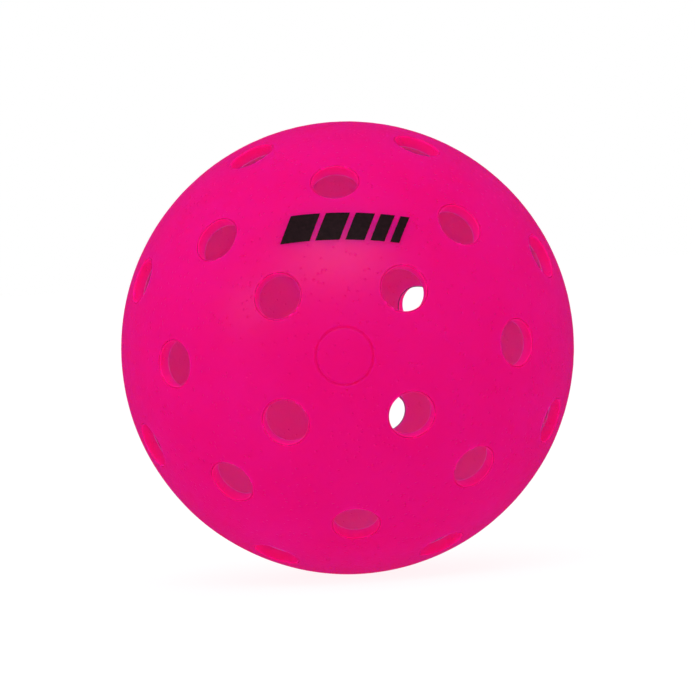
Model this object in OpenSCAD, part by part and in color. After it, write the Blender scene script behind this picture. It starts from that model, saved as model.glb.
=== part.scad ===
// Outdoor pickleball ball: a hollow perforated sphere.
// Two moulded half shells centre on each other in a lap joint at the equator and are welded there.
// Forty air holes are drilled in six rings, and one ink mark is printed beside the front pole.
// The front pole points to -Y, the rear pole to +Y, and the weld seam lies in the XZ plane.
// The origin is the centre of the ball.

/* [Ball] */
// Outer diameter of the ball
ball_d = 74; // [72.6:0.2:75.4]
// Wall thickness of both half shells
wall = 1.9; // [1.6:0.1:2.4]

/* [Air holes] */
// Diameter of every air hole
hole_d = 7.3; // [6.6:0.1:7.8]
// Edge break on the outside of every air hole
hole_edge = 0.35; // [0.2:0.05:0.4]
// Angle from the pole to the ring of four holes
first_ring = 22.2; // [20:0.1:24]
// Angle from the pole to the middle ring of eight holes
second_ring = 47.3; // [45:0.1:49]
// Angle from the pole to the outer ring of eight holes
third_ring = 70.5; // [69:0.1:73]
// Turn of the rear hole pattern against the front one, which staggers the holes across the seam
rear_twist = 22.5; // [0:0.5:45]

/* [Seam] */
// Height of the tongue that centres the two half shells
tongue_h = 1.6; // [1:0.1:2.5]
// Depth of the V groove that the outer weld fills
groove_depth = 0.5; // [0.3:0.05:0.7]
// Width of that groove at the ball's surface
groove_w = 0.8; // [0.5:0.1:1.2]
// Height of the trimmed weld above the ball's surface
weld_crown = 0.06; // [0.02:0.01:0.1]
// Height of the flash bead inside the ball
bead_h = 0.6; // [0.3:0.1:0.9]

/* [Pole marks] */
// Diameter of the shallow moulded ring at each pole
pole_ring_d = 9; // [7:0.5:11]
// Width of that ring's groove
pole_ring_w = 0.5; // [0.3:0.1:0.8]
// Depth of that ring's groove
pole_ring_depth = 0.2; // [0.1:0.05:0.3]

/* [Printed mark] */
// Angle from the front pole to the middle of the printed mark
print_polar = 33; // [31:0.5:34]
// Direction of the printed mark around the front pole, where 90 is straight up
print_azimuth = 86.5; // [84:0.5:96]
// Height of the printed bars, measured away from the pole
print_h = 5; // [3:0.5:6]
// Number of printed bars
print_bars = 5; // [3:1:5]
// Slant of the bars
print_slant = 18; // [0:1:25]
// Thickness of the ink film
ink_t = 0.05; // [0.03:0.01:0.1]

/* [Hidden] */
$fn = 96;

outer_r = ball_d / 2;
inner_r = outer_r - wall;
middle_r = outer_r - wall / 2;

// Each ring is [number of holes, angle from its pole, azimuth of its first hole].
ring_pattern = [
    [4, first_ring, 45],
    [8, second_ring, 0],
    [8, third_ring, 22.5]
];

// The widest bar, how much narrower each next bar is, and the gap between bars.
bar_widest = 4.6;
bar_step = 0.8;
bar_gap = 0.9;
bars_w = print_bars * bar_widest - bar_step * print_bars * (print_bars - 1) / 2
    + bar_gap * (print_bars - 1);

// The halves are drawn with the pole on +Z, which this turns to -Y.
module pole_to_front() {
    rotate([90, 0, 0]) children();
}

module pole_to_rear() {
    rotate([-90, 0, 0]) children();
}

// One air hole along +Z, as one turned cutter: a straight bore with an outer edge break.
module hole_cutter() {
    hole_r = hole_d / 2;
    low_z = inner_r - wall;
    rim_z = sqrt(outer_r * outer_r - hole_r * hole_r);
    rotate_extrude()
        polygon([
            [0, low_z],
            [hole_r, low_z],
            [hole_r, rim_z - hole_edge],
            [hole_r + 2 * hole_edge, rim_z + hole_edge],
            [hole_r + 2 * hole_edge, outer_r + 1],
            [0, outer_r + 1]
        ]);
}

// All the holes of one half, seen with its pole on +Z.
module hole_pattern(twist) {
    for (ring = ring_pattern)
        for (i = [0 : ring[0] - 1])
            rotate([0, ring[1], ring[2] + twist + i * 360 / ring[0]])
                hole_cutter();
}

// A shallow ring groove around the pole, cut along the pole's axis.
module pole_ring_cutter() {
    ring_z = sqrt(outer_r * outer_r - pole_ring_d * pole_ring_d / 4);
    rotate_extrude()
        translate([pole_ring_d / 2 - pole_ring_w / 2, ring_z - pole_ring_depth])
            square([pole_ring_w, 1]);
}

// Cross section of the wall between two radii and two heights, with the pole on +Y of the drawing.
module wall_section(low_r, high_r, low_z, high_z) {
    intersection() {
        difference() {
            circle(r = high_r);
            circle(r = low_r);
        }
        translate([0, low_z]) square([outer_r + 1, high_z - low_z]);
    }
}

// The V groove on the equator. Each half loses its own side of it.
module groove_section() {
    polygon([
        [outer_r - groove_depth, 0],
        [outer_r + groove_depth, groove_w],
        [outer_r + groove_depth, -groove_w]
    ]);
}

// The front half ends at the equator, and its inner side is cut back to take the tongue.
module front_section() {
    difference() {
        wall_section(inner_r, outer_r, 0, outer_r + 1);
        wall_section(inner_r - 1, middle_r, -1, tongue_h);
        groove_section();
    }
}

// The rear half, with its pole on +Z, has the tongue below the equator.
module rear_section() {
    difference() {
        wall_section(inner_r, outer_r, -tongue_h, outer_r + 1);
        wall_section(middle_r, outer_r + 1, -tongue_h - 1, 0);
        groove_section();
    }
}

module half_shell(twist) {
    difference() {
        rotate_extrude() children();
        hole_pattern(twist);
        pole_ring_cutter();
    }
}

module front_half_shell() {
    color("deeppink")
        pole_to_front()
            half_shell(0) front_section();
}

module rear_half_shell() {
    color("deeppink")
        pole_to_rear()
            half_shell(rear_twist) rear_section();
}

// The outer weld fills the V groove and stands slightly proud of it.
module outer_weld_section() {
    edge_z = groove_w / 2;
    edge_r = sqrt(outer_r * outer_r - edge_z * edge_z);
    polygon([
        [outer_r - groove_depth, 0],
        [edge_r, edge_z],
        [outer_r + weld_crown, edge_z / 2],
        [outer_r + weld_crown, -edge_z / 2],
        [edge_r, -edge_z]
    ]);
}

// The flash bead lies on the inner wall over the tip of the tongue.
module inner_bead_section() {
    low_z = tongue_h - bead_h;
    high_z = tongue_h + bead_h;
    polygon([
        [sqrt(inner_r * inner_r - low_z * low_z), low_z],
        [sqrt(inner_r * inner_r - high_z * high_z), high_z],
        [inner_r - bead_h, tongue_h + bead_h / 2],
        [inner_r - bead_h, tongue_h - bead_h / 2]
    ]);
}

module seam_weld() {
    color("hotpink")
        pole_to_front() {
            rotate_extrude() outer_weld_section();
            rotate_extrude() inner_bead_section();
        }
}

// A row of slanted bars centred on the origin, each narrower than the one to its left.
module bar_row() {
    slant_x = tan(print_slant) * print_h / 2;
    for (i = [0 : print_bars - 1]) {
        bar_w = bar_widest - i * bar_step;
        bar_x = i * (bar_widest + bar_gap) - bar_step * i * (i - 1) / 2 - bars_w / 2;
        polygon([
            [bar_x - slant_x, -print_h / 2],
            [bar_x + bar_w - slant_x, -print_h / 2],
            [bar_x + bar_w + slant_x, print_h / 2],
            [bar_x + slant_x, print_h / 2]
        ]);
    }
}

// The ink film: the bars laid on the sphere, with their tops away from the pole.
module printed_mark() {
    color("black")
        pole_to_front()
            intersection() {
                difference() {
                    sphere(r = outer_r + ink_t);
                    sphere(r = outer_r);
                }
                rotate([0, print_polar, print_azimuth])
                    translate([0, 0, outer_r - 3])
                        rotate([0, 0, -90])
                            linear_extrude(height = 6) bar_row();
            }
}

front_half_shell();
rear_half_shell();
seam_weld();
printed_mark();
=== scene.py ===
import math

import bpy
import numpy as np
from mathutils import Matrix, Vector, noise
from mathutils.geometry import delaunay_2d_cdt


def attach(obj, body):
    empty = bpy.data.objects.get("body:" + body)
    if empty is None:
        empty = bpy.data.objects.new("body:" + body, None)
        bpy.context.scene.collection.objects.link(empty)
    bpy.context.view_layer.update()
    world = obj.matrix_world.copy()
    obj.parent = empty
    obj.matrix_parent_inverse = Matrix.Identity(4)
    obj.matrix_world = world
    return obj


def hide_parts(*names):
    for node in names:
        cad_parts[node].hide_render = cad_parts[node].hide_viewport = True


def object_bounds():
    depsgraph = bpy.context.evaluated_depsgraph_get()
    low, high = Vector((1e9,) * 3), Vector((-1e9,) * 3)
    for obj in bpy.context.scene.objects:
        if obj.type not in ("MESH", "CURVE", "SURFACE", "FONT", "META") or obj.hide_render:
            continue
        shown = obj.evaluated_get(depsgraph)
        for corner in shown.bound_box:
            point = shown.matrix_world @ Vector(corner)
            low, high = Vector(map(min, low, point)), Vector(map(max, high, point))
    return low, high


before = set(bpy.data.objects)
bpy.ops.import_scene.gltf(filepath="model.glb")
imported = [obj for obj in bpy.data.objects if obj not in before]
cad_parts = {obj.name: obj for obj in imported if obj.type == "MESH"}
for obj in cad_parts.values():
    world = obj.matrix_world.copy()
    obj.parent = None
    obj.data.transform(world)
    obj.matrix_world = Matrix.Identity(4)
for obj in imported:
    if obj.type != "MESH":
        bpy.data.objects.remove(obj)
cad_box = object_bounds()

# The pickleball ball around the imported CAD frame. Shapes are worked out in millimetres and made
# in metres. Each half is built with its pole on +Z and then turned onto the frame's Y axis.

MM = 0.001
X, Y, Z = np.eye(3)

# The ball's sizes, as in the CAD.
OUTER_R = 37.0
INNER_R = 35.1
MIDDLE_R = 36.05
HOLE_R = 3.65
TONGUE_H = 1.6
GROOVE_DEPTH = 0.5
GROOVE_HALF_W = 0.4
BEAD_H = 0.6
POLE_RING_R = 4.5
POLE_RING_HALF_W = 0.25
POLE_RING_DEPTH = 0.2
# Each ring of air holes: how many, angle from the pole, azimuth of the first.
RINGS = ((4, 22.2, 45.0), (8, 47.3, 0.0), (8, 70.5, 22.5))
REAR_TWIST = 22.5

# The edges of the air holes are rounded, and finer than the CAD's edge break.
OUTER_FILLET = 0.12
INNER_FILLET = 0.05
FILLET_STEPS, WALL_STEPS, INNER_FILLET_STEPS = 7, 5, 4
# The sides of the pole ring's groove, in half widths: full up to the first, none past the second.
POLE_RING_SIDES = (0.45, 1.25)

# Vertices: how many around a hole, the seam and the pole, and how far apart in between.
RIM_STEPS = 64
SEAM_STEPS = 360
POLE_STEPS = 96
FILL_SPACING = 0.85
INNER_FILL_SPACING = 1.5
# Loops that step away from each hole and from the seam: the gaps between them.
RIM_GAPS = (0.16, 0.24, 0.34, 0.5, 0.65)
INNER_RIM_GAPS = (0.25, 0.6, 1.0)
SEAM_GAPS = (0.12, 0.2, 0.35, 0.6)
INNER_SEAM_GAPS = (0.5, 1.0)
# Loops that carry the groove of the pole's ring: their distances from the pole's axis.
POLE_LOOPS = [3.85 + 0.0765 * i for i in range(18)]
# How far the spread points keep from those loops: in spacings, and inside the pole's loops as a
# height on the unit sphere.
FILL_MARGIN = 0.8
POLE_MARGIN = 0.6
POLE_INNER_MARGIN = 0.2 * FILL_SPACING / OUTER_R ** 2
# A triangle whose middle is within this share of a hole's edge angle lies in the hole.
IN_HOLE = 0.995

# How uneven the moulded skin is: the height and the size of each layer of waves.
WAVES = ((0.030, 11.0), (0.012, 3.5), (0.004, 1.1))
SEED_SHIFT = Vector((17.3, 5.1, -9.7))
FRONT_SEED, REAR_SEED = 1, 2
# The waves grow from this far above the inner skin to this far below the outer one. They also
# grow from nothing at the seam to their full height this far from it.
WAVES_FROM, WAVES_TO, SEAM_CALM = 0.6, 0.1, 1.5
# Depths below the outer skin where a point counts as in the wall and as on the skin.
IN_WALL, ON_SKIN = 0.5, 0.3

# The vertex attribute that says how much of the material's glow, which is painted light, a vertex
# shows.
CUT_WALL = "cut_wall"
# How strongly the holes of each ring show it.
RING_GLOW = (1.0, 1.0, 0.75)
# Where it starts and ends to fade: on the skin, measured from the hole's wall, and inside,
# measured from the inner skin.
GLOW_FADE = (0.06, 0.45)
GLOW_INNER_FADE = 0.06
# The glow beside the weld, painted light for the light lost in the joint: its strength, and the
# distance over which it falls to about a third.
FRONT_JOINT_GLOW = (2.4, 1.8)
REAR_JOINT_GLOW = (1.2, 1.2)

# The outer weld, a little lower and rougher than the CAD's, and the bead inside. Both are sunk a
# little at their edges. A layer of roughness or of sideways sway is (height, ripples, seed).
WELD_CROWN, WELD_SINK, CROWN_STEPS = 0.05, 0.01, 8
WELD_ROUGHNESS = ((0.022, 34, 1.0), (0.012, 90, 2.0))
WELD_SWAY = ((0.05, 16, 3.0),)
BEAD_SINK, BEAD_FULLNESS, BEAD_STEPS = 0.03, 0.8, 10
BEAD_ROUGHNESS = ((0.16, 22, 4.0), (0.10, 60, 5.0))
BEAD_SWAY = (0.12, 14, 6.0)
BEAD_SWAY_CHANGE = 0.2

# The printed bars, as in the CAD: a row of slanted bars that get narrower to the right.
PRINT_POLAR = 33.0
PRINT_AZIMUTH = 86.5
PRINT_H = 5.0
PRINT_SLANT = 18.0
BARS = 5
BAR_WIDEST = 4.6
BAR_STEP = 0.8
BAR_GAP = 0.9
# The ink film: its thickness, how far its underside is sunk, the grid it is cut in, and the band
# along its edges where it thins out to a share of its thickness.
INK_T = 0.045
INK_SINK = 0.05
INK_GRID = 0.16
INK_EDGE_BAND, INK_EDGE_SHARE = 0.14, 0.35
# How ragged its edges are, across and along the bars: height, ripples a millimetre and seed.
INK_RAGGED_X = (0.035, 2.1, 3.0)
INK_RAGGED_Y = (0.03, 2.3, 11.0)


# ---------------------------------------------------------------- shapes

def front_point(p):
    """From a half's own axes, pole on +Z, to the frame with the pole on -Y."""
    p = np.asarray(p, float)
    return np.stack([p[..., 0], -p[..., 2], p[..., 1]], -1)


def rear_point(p):
    """From a half's own axes, pole on +Z, to the frame with the pole on +Y."""
    p = np.asarray(p, float)
    return np.stack([p[..., 0], p[..., 2], -p[..., 1]], -1)


def direction(polar, azimuth):
    """Unit vector from a polar angle and an azimuth in radians."""
    return np.array([math.sin(polar) * math.cos(azimuth),
                     math.sin(polar) * math.sin(azimuth),
                     math.cos(polar)])


def hole_axes(twist):
    """The axes of a half's air holes, each with two vectors across it."""
    axes = []
    for count, polar, first in RINGS:
        theta = math.radians(polar)
        for i in range(count):
            azimuth = math.radians(first + twist + i * 360.0 / count)
            axis = direction(theta, azimuth)
            down = direction(theta + math.pi / 2, azimuth)
            axes.append((axis, down, np.cross(axis, down)))
    return axes


def spokes(e1, e2, steps):
    """Unit vectors all round, in the plane of e1 and e2."""
    t = np.arange(steps) * 2 * math.pi / steps
    return np.cos(t)[:, None] * e1 + np.sin(t)[:, None] * e2


def circle_dirs(axis, e1, e2, angle, steps):
    """Unit vectors on a small circle at an angle from an axis."""
    return math.cos(angle) * axis + math.sin(angle) * spokes(e1, e2, steps)


def fill_dirs(spacing, radius):
    """Evenly spread unit vectors about a spacing apart on a sphere of that radius."""
    row_height = 0.866
    count = int(4 * math.pi * radius ** 2 / (spacing ** 2 * row_height))
    i = np.arange(count)
    z = 1 - (2 * i + 1) / count
    t = i * math.pi * (3 - math.sqrt(5))
    s = np.sqrt(1 - z * z)
    return np.stack([s * np.cos(t), s * np.sin(t), z], -1)


def smoothstep(a, b, x):
    t = np.clip((x - a) / (b - a), 0, 1)
    return t * t * (3 - 2 * t)


class Shape:
    """Points and faces that are added bit by bit."""

    def __init__(self):
        self.parts, self.faces, self.size = [], [], 0

    def put(self, points):
        """Add points and return their indices."""
        self.parts.append(points)
        self.size += len(points)
        return np.arange(self.size - len(points), self.size)

    def bridge(self, first, second):
        """Add the strip of quads between two closed loops."""
        corners = [first, np.roll(first, -1), np.roll(second, -1), second]
        self.faces += np.stack(corners, -1).tolist()

    def points(self):
        return np.concatenate(self.parts)


def cap_triangles(dirs, loops, seam, axes, edge_angle, seam_angle):
    """Triangles between a cap's directions, outside its holes and above the seam."""
    flat = dirs[:, :2] / (1 + dirs[:, 2:3])
    edges = []
    for loop in [*loops, seam]:
        edges += zip(loop.tolist(), np.roll(loop, -1).tolist())
    made = delaunay_2d_cdt([Vector(p) for p in flat], edges, [], 0, 1e-9)
    if len(made[0]) != len(dirs):
        raise RuntimeError("the triangulation moved or merged points")
    order = np.array([o[0] for o in made[3]])
    tris = order[np.array(made[2])]

    middle = dirs[tris].mean(1)
    middle /= np.linalg.norm(middle, axis=1)[:, None]
    keep = middle[:, 2] > math.cos(seam_angle)
    for axis, _, _ in axes:
        keep &= middle @ axis < math.cos(edge_angle * IN_HOLE)
    tris = tris[keep]

    normal = np.cross(dirs[tris[:, 1]] - dirs[tris[:, 0]], dirs[tris[:, 2]] - dirs[tris[:, 0]])
    flip = (normal * dirs[tris[:, 0]]).sum(1) < 0
    tris[flip] = tris[flip][:, ::-1]
    return tris


def perforated_cap(radius, axes, edge_angle, rim_gaps, seam_z, seam_gaps, spacing, pole_loops):
    """Directions and triangles of a spherical cap with a round loop around each hole.

    The first loop of each hole lies at edge_angle and the next ones step out by rim_gaps. The
    cap ends on the seam, at height seam_z. Returns the directions, the triangles, each hole's
    first loop and the seam's loop, as indices.
    """
    cap = Shape()
    loops = []
    for axis, e1, e2 in axes:
        angle = edge_angle
        loops.append(cap.put(circle_dirs(axis, e1, e2, angle, RIM_STEPS)))
        for gap in rim_gaps:
            angle += gap / radius
            cap.put(circle_dirs(axis, e1, e2, angle, RIM_STEPS))
    hole_limit = edge_angle + (sum(rim_gaps) + FILL_MARGIN * spacing) / radius

    seam_angle = math.acos(seam_z / radius)
    seam = cap.put(circle_dirs(Z, X, Y, seam_angle, SEAM_STEPS))
    angle = seam_angle
    for gap in seam_gaps:
        angle -= gap / radius
        cap.put(circle_dirs(Z, X, Y, angle, SEAM_STEPS))
    seam_limit = angle - FILL_MARGIN * spacing / radius

    for r in pole_loops:
        cap.put(circle_dirs(Z, X, Y, math.asin(r / radius), POLE_STEPS))
    fill = fill_dirs(spacing, radius)
    fill = fill[fill[:, 2] > math.cos(seam_limit)]
    if pole_loops:
        around = math.asin(pole_loops[-1] / radius) + POLE_MARGIN * spacing / radius
        within = math.cos(math.asin(pole_loops[0] / radius)) + POLE_INNER_MARGIN
        fill = fill[(fill[:, 2] < math.cos(around)) | (fill[:, 2] > within)]
    for axis, _, _ in axes:
        fill = fill[fill @ axis < math.cos(hole_limit)]
    cap.put(fill)

    dirs = cap.points()
    return dirs, cap_triangles(dirs, loops, seam, axes, edge_angle, seam_angle), loops, seam


def waviness(points, seed):
    """How far the moulded skin lies off the true sphere, in millimetres, at each point."""
    shift = SEED_SHIFT * seed
    return np.array([sum(height * noise.noise(Vector(p) / size + shift) for height, size in WAVES)
                     for p in points])


def rim_profile():
    """An air hole's section from the outer skin to the inner wall.

    Returns its points as (distance from the hole's axis, height), and the angles from the axis
    at which the outer and the inner skin begin.
    """
    f = OUTER_FILLET
    outer = (HOLE_R + f, math.sqrt((OUTER_R - f) ** 2 - (HOLE_R + f) ** 2))
    start = math.atan2(outer[1], outer[0])
    points = []
    for i in range(1, FILLET_STEPS + 1):
        a = start + (math.pi - start) * i / FILLET_STEPS
        points.append((outer[0] + f * math.cos(a), outer[1] + f * math.sin(a)))
    g = INNER_FILLET
    inner = (HOLE_R + g, math.sqrt((INNER_R + g) ** 2 - (HOLE_R + g) ** 2))
    top, bottom = points[-1][1], inner[1]
    for i in range(1, WALL_STEPS):
        points.append((HOLE_R, top + (bottom - top) * i / WALL_STEPS))
    end = math.atan2(-inner[1], -inner[0]) + 2 * math.pi
    for i in range(INNER_FILLET_STEPS):
        a = math.pi + (end - math.pi) * i / INNER_FILLET_STEPS
        points.append((inner[0] + g * math.cos(a), inner[1] + g * math.sin(a)))
    return points, math.asin(outer[0] / (OUTER_R - f)), math.asin(inner[0] / (INNER_R + g))


def on_skin(radius):
    """1 on the outer skin and 0 deep in the wall."""
    return smoothstep(OUTER_R - IN_WALL, OUTER_R - ON_SKIN, radius)


def moulded(points, radius, seed):
    """The points with the skin's unevenness and the groove of the pole's ring."""
    skin = smoothstep(INNER_R + WAVES_FROM, OUTER_R - WAVES_TO, radius)
    near_seam = smoothstep(0.0, SEAM_CALM, np.abs(points[:, 2]))
    offset = waviness(points, seed) * skin * near_seam
    off_ring = np.abs(np.hypot(points[:, 0], points[:, 1]) - POLE_RING_R)
    full, none = POLE_RING_SIDES
    groove = 1 - smoothstep(POLE_RING_HALF_W * full, POLE_RING_HALF_W * none, off_ring)
    offset -= POLE_RING_DEPTH * groove * on_skin(radius) * (points[:, 2] > 0)
    return points * (1 + offset / radius)[:, None]


def glow_share(points, radius, axes, joint_glow):
    """How much of the material's glow, painted light, each point shows: in the air holes and
    beside the weld.
    """
    from_axis = np.full(len(points), OUTER_R)
    ring_share = np.ones(len(points))
    levels = [level for (count, _, _), level in zip(RINGS, RING_GLOW) for _ in range(count)]
    for (axis, _, _), level in zip(axes, levels):
        along = points @ axis
        across = np.linalg.norm(points - along[:, None] * axis, axis=1)
        nearer = (along > 0) & (across < from_axis)
        from_axis = np.where(nearer, across, from_axis)
        ring_share = np.where(nearer, level, ring_share)
    start, end = GLOW_FADE
    holes = ring_share * (1 - smoothstep(HOLE_R + start, HOLE_R + end, from_axis))
    holes *= smoothstep(INNER_R, INNER_R + GLOW_INNER_FADE, radius)
    strength, reach = joint_glow
    joint = on_skin(radius) * strength * np.exp(-np.abs(points[:, 2]) / reach)
    return np.maximum(holes, joint)


def half_shell(twist, tongue_z, seed, joint_glow):
    """One moulded half in its own axes: its points, its faces and each point's share of glow,
    which is painted light.
    """
    axes = hole_axes(twist)
    rim, outer_edge, inner_edge = rim_profile()
    out_dirs, out_tris, out_loops, out_seam = perforated_cap(
        OUTER_R, axes, outer_edge, RIM_GAPS, GROOVE_HALF_W, SEAM_GAPS, FILL_SPACING, POLE_LOOPS)
    in_dirs, in_tris, in_loops, in_seam = perforated_cap(
        INNER_R, axes, inner_edge, INNER_RIM_GAPS, tongue_z, INNER_SEAM_GAPS,
        INNER_FILL_SPACING, [])

    shape = Shape()
    shape.put(out_dirs * OUTER_R)
    first_inner = shape.put(in_dirs * INNER_R)[0]
    shape.faces += out_tris.tolist()
    shape.faces += (in_tris[:, ::-1] + first_inner).tolist()

    for (axis, e1, e2), out_loop, in_loop in zip(axes, out_loops, in_loops):
        across = spokes(e1, e2, RIM_STEPS)
        last = out_loop
        for rho, height in rim:
            loop = shape.put(axis * height + across * rho)
            shape.bridge(loop, last)
            last = loop
        shape.bridge(in_loop + first_inner, last)

    round_seam = spokes(X, Y, SEAM_STEPS)
    tongue_r = math.sqrt(MIDDLE_R ** 2 - TONGUE_H ** 2)
    last = out_seam
    for r, z in ((OUTER_R - GROOVE_DEPTH, 0.0), (MIDDLE_R, 0.0), (tongue_r, tongue_z)):
        loop = shape.put(round_seam * r + Z * z)
        shape.bridge(last, loop)
        last = loop
    shape.bridge(last, in_seam + first_inner)

    smooth = shape.points()
    radius = np.linalg.norm(smooth, axis=1)
    points = moulded(smooth, radius, seed)
    return points, shape.faces, glow_share(points, radius, axes, joint_glow)


def lathe(profile, wobble):
    """A closed ring: (radius, height) points turned about Z, each moved by wobble(t, k)."""
    n = len(profile)
    points = []
    for i in range(SEAM_STEPS):
        t = i * 2 * math.pi / SEAM_STEPS
        for k, (r, z) in enumerate(profile):
            dr, dz = wobble(t, k)
            points.append(((r + dr) * math.cos(t), (r + dr) * math.sin(t), z + dz))
    faces = []
    for i in range(SEAM_STEPS):
        j = (i + 1) % SEAM_STEPS
        for k in range(n):
            m = (k + 1) % n
            faces.append((i * n + k, j * n + k, j * n + m, i * n + m))
    return np.array(points), faces


def ripple(t, layers):
    """Noise around the seam at the angle t, summed over layers of (height, ripples, seed)."""
    return sum(height * noise.noise(Vector((ripples * math.cos(t), ripples * math.sin(t), seed)))
               for height, ripples, seed in layers)


def outer_weld():
    """The weld that fills the V groove, as a closed ring."""
    edge_r = math.sqrt(OUTER_R ** 2 - GROOVE_HALF_W ** 2) - WELD_SINK
    crown = [(OUTER_R - GROOVE_DEPTH, 0.0)]
    for i in range(CROWN_STEPS + 1):
        u = -1 + 2 * i / CROWN_STEPS
        crown.append((edge_r + (WELD_CROWN + WELD_SINK) * math.cos(u * math.pi / 2),
                      u * GROOVE_HALF_W))

    def wobble(t, k):
        if k == 0:
            return 0.0, 0.0
        rise = 1 - abs((k - 1) / (CROWN_STEPS / 2) - 1)
        return ripple(t, WELD_ROUGHNESS) * rise, ripple(t, WELD_SWAY) * rise

    return lathe(crown, wobble)


def inner_bead():
    """The flash bead over the tip of the tongue, as a closed ring."""
    bead = []
    for i in range(BEAD_STEPS + 1):
        a = math.pi * (i / BEAD_STEPS)
        z = TONGUE_H - BEAD_H * math.cos(a)
        wall = math.sqrt(INNER_R ** 2 - z ** 2) + BEAD_SINK
        bead.append((wall - (BEAD_H + BEAD_SINK) * math.sin(a) ** BEAD_FULLNESS, z))
    bead.reverse()
    sway, sway_ripples, sway_seed = BEAD_SWAY

    def wobble(t, k):
        rise = math.sin(math.pi * k / BEAD_STEPS)
        side = ripple(t, ((sway, sway_ripples, sway_seed + BEAD_SWAY_CHANGE * k),))
        return -ripple(t, BEAD_ROUGHNESS) * rise, side * rise

    return lathe(bead, wobble)


def weld_rings():
    """The outer weld and the bead inside, as one mesh."""
    weld_points, weld_faces = outer_weld()
    bead_points, bead_faces = inner_bead()
    shift = len(weld_points)
    faces = weld_faces + [tuple(v + shift for v in f) for f in bead_faces]
    return np.concatenate([weld_points, bead_points]), faces


def ragged(x, y, settings, bar):
    """How far a bar's edge is off at a point, from (height, ripples, seed)."""
    height, ripples, seed = settings
    return height * noise.noise(Vector((x * ripples, y * ripples, seed + bar)))


def bar_grid(x0, width, bar, nu, nv):
    """One bar's grid of (x, y, film thickness), from its lower left corner, row by row."""
    slant = math.tan(math.radians(PRINT_SLANT))
    grid = []
    for j in range(nv + 1):
        for i in range(nu + 1):
            u, v = i / nu, j / nv
            y = (v - 0.5) * PRINT_H
            x = x0 + u * width + slant * y
            x += ragged(x, y, INK_RAGGED_X, bar) * (2 * u - 1)
            y += ragged(x, y, INK_RAGGED_Y, bar) * (2 * v - 1)
            edge = min(u * width, (1 - u) * width, v * PRINT_H, (1 - v) * PRINT_H)
            fullness = min(1.0, edge / INK_EDGE_BAND)
            grid.append((x, y, INK_T * (INK_EDGE_SHARE + (1 - INK_EDGE_SHARE) * fullness)))
    return grid


def slab_faces(base, nu, nv):
    """Faces of a closed slab: an upper grid of points from base on, and a lower grid after it."""
    layer_size = (nu + 1) * (nv + 1)

    def at(i, j, layer):
        return base + layer * layer_size + j * (nu + 1) + i

    faces = []
    for j in range(nv):
        for i in range(nu):
            faces.append((at(i, j, 0), at(i + 1, j, 0), at(i + 1, j + 1, 0), at(i, j + 1, 0)))
            faces.append((at(i, j, 1), at(i, j + 1, 1), at(i + 1, j + 1, 1), at(i + 1, j, 1)))
    for i in range(nu):
        faces.append((at(i, 0, 1), at(i + 1, 0, 1), at(i + 1, 0, 0), at(i, 0, 0)))
        faces.append((at(i, nv, 0), at(i + 1, nv, 0), at(i + 1, nv, 1), at(i, nv, 1)))
    for j in range(nv):
        faces.append((at(0, j, 0), at(0, j + 1, 0), at(0, j + 1, 1), at(0, j, 1)))
        faces.append((at(nu, j, 1), at(nu, j + 1, 1), at(nu, j + 1, 0), at(nu, j, 0)))
    return faces


def ink_bars():
    """Thin closed solids, one a bar, that follow the front half's skin."""
    theta, azimuth = math.radians(PRINT_POLAR), math.radians(PRINT_AZIMUTH)
    outward = direction(theta, azimuth)
    up = direction(theta + math.pi / 2, azimuth)
    right = np.cross(up, outward)
    row_w = BARS * BAR_WIDEST - BAR_STEP * BARS * (BARS - 1) / 2 + BAR_GAP * (BARS - 1)
    dirs, films, faces = [], [], []
    for bar in range(BARS):
        width = BAR_WIDEST - bar * BAR_STEP
        x0 = bar * (BAR_WIDEST + BAR_GAP) - BAR_STEP * bar * (bar - 1) / 2 - row_w / 2
        nu, nv = max(8, round(width / INK_GRID)), round(PRINT_H / INK_GRID)
        faces += slab_faces(len(dirs), nu, nv)
        grid = bar_grid(x0, width, bar, nu, nv)
        on_sphere = [right * x + up * y + outward * math.sqrt(OUTER_R ** 2 - x * x - y * y)
                     for x, y, _ in grid]
        dirs += [d / np.linalg.norm(d) for d in on_sphere] * 2
        films += [film for _, _, film in grid] + [-INK_SINK] * len(grid)
    dirs = np.array(dirs)
    radius = OUTER_R + waviness(dirs * OUTER_R, FRONT_SEED) + np.array(films)
    return dirs * radius[:, None], faces


def add_piece(name, points, faces, glow, turn, material, slot, node, sharp=35):
    """A mesh object in the row frame that stands for a CAD node."""
    mesh = bpy.data.meshes.new(name)
    mesh.from_pydata((turn(points) * MM).tolist(), [], faces)
    mesh.validate()
    mesh.shade_smooth()
    mesh.set_sharp_from_angle(angle=math.radians(sharp))
    if glow is not None:
        mesh.attributes.new(CUT_WALL, "FLOAT", "POINT").data.foreach_set("value", glow)
    obj = bpy.data.objects.new(name, mesh)
    bpy.context.scene.collection.objects.link(obj)
    mesh.materials.append(material)
    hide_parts(node)
    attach(obj, "root")


# ---------------------------------------------------------------- materials

# Colours in linear RGB. Noise mixes the two of a pair.
SKIN = (0.885, 0.0028, 0.180), (0.905, 0.0038, 0.200)
# The paler inside pair is painted light, for the light that hardly reaches the inner skin.
INSIDE = (0.925, 0.16, 0.62), (0.945, 0.18, 0.66)
# The pits' darker colour is painted shade.
PIT = (0.60, 0.002, 0.095)
WELD = (0.84, 0.003, 0.160), (0.93, 0.010, 0.215)
INK = (0.010, 0.0034, 0.0050), (0.019, 0.0064, 0.0092)
FLOOR = (0.14, 0.14, 0.14), (0.16, 0.16, 0.16)
# The glow in the air holes and beside the weld, painted light: near the inside, near the outside,
# at the edge.
GLOW_DEEP = (0.29, 0.0050, 0.100)
GLOW_SHALLOW = (0.07, 0.0020, 0.035)
GLOW_EDGE = (0.27, 0.0012, 0.014)
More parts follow.
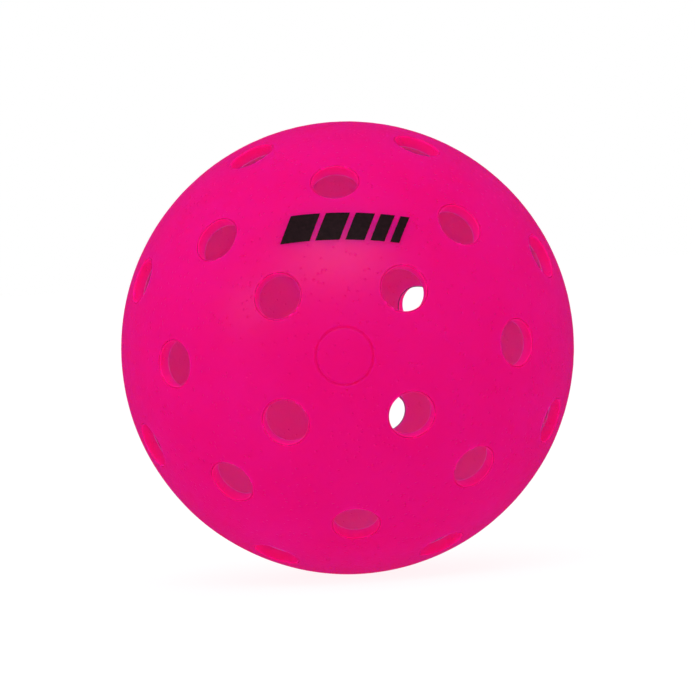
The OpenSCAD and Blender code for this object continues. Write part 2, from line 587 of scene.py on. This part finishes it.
# Radii in metres between which the wall's colour changes from the inside's paler painted light to
# the skin's, and its painted glow changes.
INSIDE_TO_SKIN = (INNER_R + 0.05) * MM, (INNER_R + 0.20) * MM
DEEP_TO_SHALLOW = (INNER_R + 0.20) * MM, (OUTER_R - 0.25) * MM
SHALLOW_TO_EDGE = (OUTER_R - 0.25) * MM, (OUTER_R - 0.08) * MM

PLASTIC_IOR = 1.5
PLASTIC_SPECULAR = 0.15
INK_SPECULAR = 0.06
FLOOR_LIGHT = 0.88


class Nodes:
    """Short calls for building a material's node tree."""

    def __init__(self, name):
        self.material = bpy.data.materials.new(name)
        self.material.use_nodes = True
        self.tree = self.material.node_tree
        self.shader = self.tree.nodes["Principled BSDF"]
        self.coords = self.add("ShaderNodeTexCoord").outputs["Object"]

    def add(self, kind, **settings):
        node = self.tree.nodes.new(kind)
        for key, value in settings.items():
            setattr(node, key, value)
        return node

    def feed(self, value, socket):
        """Link another node's output to a socket, or set a plain value on the socket itself."""
        if isinstance(value, bpy.types.NodeSocket):
            self.tree.links.new(value, socket)
        elif socket.type == "RGBA":
            socket.default_value = (*value, 1.0)
        else:
            socket.default_value = value

    def noise(self, scale, detail=2.0, rough=0.5):
        n = self.add("ShaderNodeTexNoise")
        n.inputs["Scale"].default_value = scale
        n.inputs["Detail"].default_value = detail
        n.inputs["Roughness"].default_value = rough
        self.feed(self.coords, n.inputs["Vector"])
        return n.outputs["Fac"]

    def cells(self, scale):
        n = self.add("ShaderNodeTexVoronoi")
        n.inputs["Scale"].default_value = scale
        self.feed(self.coords, n.inputs["Vector"])
        return n

    def radius(self):
        """Distance of the shaded point from the ball's centre, in metres."""
        n = self.add("ShaderNodeVectorMath", operation="LENGTH")
        self.feed(self.coords, n.inputs[0])
        return n.outputs["Value"]

    def remap(self, value, a, b, c=0, d=1):
        """From the range a to b to the range c to d, held at its ends."""
        n = self.add("ShaderNodeMapRange")
        n.clamp = True
        for key, number in zip(("From Min", "From Max", "To Min", "To Max"), (a, b, c, d)):
            n.inputs[key].default_value = number
        self.feed(value, n.inputs["Value"])
        return n.outputs["Result"]

    def math(self, operation, a, b):
        n = self.add("ShaderNodeMath", operation=operation)
        for value, socket in zip((a, b), n.inputs):
            self.feed(value, socket)
        return n.outputs[0]

    def mix(self, factor, a, b):
        n = self.add("ShaderNodeMix", data_type="RGBA")
        self.feed(factor, n.inputs["Factor"])
        for key, value in (("A", a), ("B", b)):
            self.feed(value, next(s for s in n.inputs if s.name == key and s.type == "RGBA"))
        return next(s for s in n.outputs if s.type == "RGBA")

    def bump(self, height, strength, distance, normal=None):
        n = self.add("ShaderNodeBump")
        n.inputs["Strength"].default_value = strength
        n.inputs["Distance"].default_value = distance
        self.feed(height, n.inputs["Height"])
        if normal is not None:
            self.feed(normal, n.inputs["Normal"])
        return n.outputs["Normal"]

    def set(self, **values):
        """Feed the shader's sockets, named with underscores for spaces."""
        for key, value in values.items():
            self.feed(value, self.shader.inputs[key.replace("_", " ")])


def wall_glow(m):
    """The glow's colour at each depth of the wall.

    The glow is painted light. Without it the walls of the air holes would be darker than the skin.
    So would the skin beside the weld, because light doesn't cross between the separate meshes.
    """
    depth = m.radius()
    glow = m.mix(m.remap(depth, *DEEP_TO_SHALLOW), GLOW_DEEP, GLOW_SHALLOW)
    return m.mix(m.remap(depth, *SHALLOW_TO_EDGE), glow, GLOW_EDGE)


def shell_material():
    """Translucent pink plastic with a satin grain and sparse pits; its paler inner skin is painted
    light, its pits hold a little painted shade and its glow is painted light.
    """
    m = Nodes("pink_polyethylene")
    mottle = m.remap(m.noise(70, 3), 0.35, 0.65)
    # The inner skin takes the paler pair: painted light.
    is_skin = m.remap(m.radius(), *INSIDE_TO_SKIN)
    colour = m.mix(is_skin, m.mix(mottle, *INSIDE), m.mix(mottle, *SKIN))

    # Pits: a few of the cells have a dot in the middle, sunk, and darkened a little with painted
    # shade.
    cells = m.cells(1500)
    chance = m.add("ShaderNodeSeparateColor")
    m.feed(cells.outputs["Color"], chance.inputs[0])
    chosen = m.remap(chance.outputs[0], 0.74, 0.80)
    dot = m.remap(cells.outputs["Distance"], 0.16, 0.34, 1, 0)
    pit = m.math("MULTIPLY", chosen, dot)
    colour = m.mix(m.math("MULTIPLY", pit, 0.05), colour, PIT)

    # Satin grain, a slower unevenness and the pits.
    normal = m.bump(m.noise(5200, 4, 0.6), strength=0.45, distance=0.00005)
    normal = m.bump(m.noise(900, 2), strength=0.20, distance=0.00008, normal=normal)
    flat = m.math("SUBTRACT", 1.0, pit)
    normal = m.bump(flat, strength=0.9, distance=0.00012, normal=normal)

    # The glow is painted light: an emission that brightens the walls of the air holes and the skin
    # beside the weld.
    glow_here = m.add("ShaderNodeAttribute", attribute_name=CUT_WALL).outputs["Fac"]
    m.set(Base_Color=colour, Normal=normal,
          Roughness=m.remap(m.noise(1300, 3), 0.3, 0.7, 0.31, 0.39),
          Emission_Color=wall_glow(m), Emission_Strength=glow_here,
          IOR=PLASTIC_IOR, Specular_IOR_Level=PLASTIC_SPECULAR, Subsurface_Weight=1.0,
          Subsurface_Radius=(1.0, 0.20, 0.27), Subsurface_Scale=0.0095)
    return m.material


def weld_material():
    """The same plastic where it melted: streaky and less translucent."""
    m = Nodes("fused_polyethylene")
    colour = m.mix(m.remap(m.noise(420, 4, 0.6), 0.35, 0.65), *WELD)
    normal = m.bump(m.noise(2600, 3), strength=0.4, distance=0.00005)
    m.set(Base_Color=colour, Normal=normal,
          Roughness=m.remap(m.noise(1500, 2), 0.3, 0.7, 0.32, 0.45),
          IOR=PLASTIC_IOR, Specular_IOR_Level=PLASTIC_SPECULAR, Subsurface_Weight=0.6,
          Subsurface_Radius=(1.0, 0.25, 0.5), Subsurface_Scale=0.0010)
    return m.material


def ink_material():
    """Black ink that covers a little unevenly."""
    m = Nodes("black_pad_ink")
    colour = m.mix(m.remap(m.noise(1800, 4, 0.65), 0.35, 0.70), *INK)
    normal = m.bump(m.noise(4200, 3), strength=0.35, distance=0.00003)
    m.set(Base_Color=colour, Normal=normal,
          Roughness=m.remap(m.noise(1500, 2), 0.3, 0.7, 0.42, 0.58),
          Specular_IOR_Level=INK_SPECULAR)
    return m.material


def floor_material():
    """A pale floor that is mostly lit from within, so that it stays as white as the room."""
    m = Nodes("pale_floor")
    m.set(Base_Color=m.mix(m.noise(3.0, 3), *FLOOR), Roughness=0.9, Specular_IOR_Level=0.0,
          Emission_Color=(1, 1, 1), Emission_Strength=FLOOR_LIGHT)
    return m.material


# ---------------------------------------------------------------- the ball

pink = shell_material()
add_piece("shell_front", *half_shell(0.0, TONGUE_H, FRONT_SEED, FRONT_JOINT_GLOW), front_point,
          pink, "shell", "front_half_shell")
add_piece("shell_rear", *half_shell(REAR_TWIST, -TONGUE_H, REAR_SEED, REAR_JOINT_GLOW), rear_point,
          pink, "shell", "rear_half_shell")
add_piece("weld_line", *weld_rings(), None, front_point, weld_material(), "weld", "seam_weld")
add_piece("ink_bars", *ink_bars(), None, front_point, ink_material(), "ink", "printed_mark",
          sharp=60)

# ---------------------------------------------------------------- studio

# The floor lies under the ball's lowest point and reaches this far each way, in metres.
FLOOR_Z, FLOOR_HALF = cad_box[0].z, 3.0

# The room is pure white to look at and dim in reflections, as behind a light tent. As light it is
# brighter from behind, above and the left than from the front.
ROOM_SEEN, ROOM_REFLECTED = 1.0, 0.035
ROOM_FRONT, ROOM_BACK = 0.70, 1.08
TOWARDS_BACK = (-0.28, 0.85, 0.45)

LAMP_DISTANCE = 0.9

# The camera looks a little down on the front pole, slightly rolled, from about 0.7 m.
CAMERA_DISTANCE = 18.79 * OUTER_R * MM
TILT, TURN, ROLL = math.radians(1.95), math.radians(-0.71), math.radians(3.57)

scene = bpy.context.scene
scene.view_settings.view_transform = "Standard"
scene.view_settings.look = "None"
scene.view_settings.exposure = 0.0
scene.view_settings.gamma = 1.0

floor_mesh = bpy.data.meshes.new("floor")
floor_corners = [(x * FLOOR_HALF, y * FLOOR_HALF, FLOOR_Z)
                 for x, y in ((-1, -1), (1, -1), (1, 1), (-1, 1))]
floor_mesh.from_pydata(floor_corners, [], [(0, 1, 2, 3)])
floor_mesh.materials.append(floor_material())
floor = bpy.data.objects.new("floor", floor_mesh)
floor.visible_glossy = False
scene.collection.objects.link(floor)


def studio_room():
    """A world whose brightness depends on the direction and on what kind of ray looks at it."""
    world = bpy.data.worlds.new("studio")
    world.use_nodes = True
    nodes, links = world.node_tree.nodes, world.node_tree.links
    background = nodes["Background"]
    background.inputs["Color"].default_value = (1, 1, 1, 1)

    where = nodes.new("ShaderNodeTexCoord")
    backwards = nodes.new("ShaderNodeVectorMath")
    backwards.operation = "DOT_PRODUCT"
    backwards.inputs[1].default_value = Vector(TOWARDS_BACK).normalized()
    links.new(where.outputs["Generated"], backwards.inputs[0])
    level = nodes.new("ShaderNodeMapRange")
    for key, value in (("From Min", -1), ("From Max", 1),
                       ("To Min", ROOM_FRONT), ("To Max", ROOM_BACK)):
        level.inputs[key].default_value = value
    links.new(backwards.outputs["Value"], level.inputs["Value"])

    ray = nodes.new("ShaderNodeLightPath")
    strength = level.outputs["Result"]
    for kind, value in (("Is Camera Ray", ROOM_SEEN), ("Is Glossy Ray", ROOM_REFLECTED)):
        step = nodes.new("ShaderNodeMix")
        step.data_type = "FLOAT"
        links.new(strength, step.inputs["A"])
        step.inputs["B"].default_value = value
        links.new(ray.outputs[kind], step.inputs["Factor"])
        strength = step.outputs["Result"]
    links.new(strength, background.inputs["Strength"])
    # Sampled as a light, the room would be bright in reflections too.
    world.cycles.sampling_method = "NONE"
    return world


def add_lamp(name, towards, width, height, power):
    """An oval area light that faces the ball from a direction."""
    light = bpy.data.lights.new(name, "AREA")
    light.shape = "ELLIPSE"
    light.size, light.size_y = width, height
    light.energy = power
    obj = bpy.data.objects.new(name, light)
    place = Vector(towards).normalized() * LAMP_DISTANCE
    obj.location = place
    obj.rotation_mode = "QUATERNION"
    obj.rotation_quaternion = (-place).to_track_quat("-Z", "Y")
    scene.collection.objects.link(obj)


def add_camera():
    """The camera. Its axes are worked out in a half's own axes and turn as the front half does."""
    to_camera = (Matrix.Rotation(TILT, 3, "X") @ Matrix.Rotation(TURN, 3, "Y")
                 @ Matrix.Rotation(ROLL, 3, "Z"))
    axes = [Vector(front_point(to_camera[i])) for i in range(3)]
    data = bpy.data.cameras.new("camera")
    data.lens, data.sensor_width = 220.0, 36.0
    data.shift_y = 0.0006
    data.clip_start, data.clip_end = 0.05, 20.0
    camera = bpy.data.objects.new("camera", data)
    camera.matrix_world = (Matrix.Translation(axes[2] * CAMERA_DISTANCE)
                           @ Matrix(axes).transposed().to_4x4())
    scene.collection.objects.link(camera)
    return camera


scene.world = studio_room()
add_lamp("top_softbox", towards=(-0.04, -0.66, 0.75), width=0.70, height=0.29, power=2.2)
add_lamp("left_lamp", towards=(-0.710, -0.591, 0.378), width=0.12, height=0.12, power=0.50)
scene.camera = add_camera()
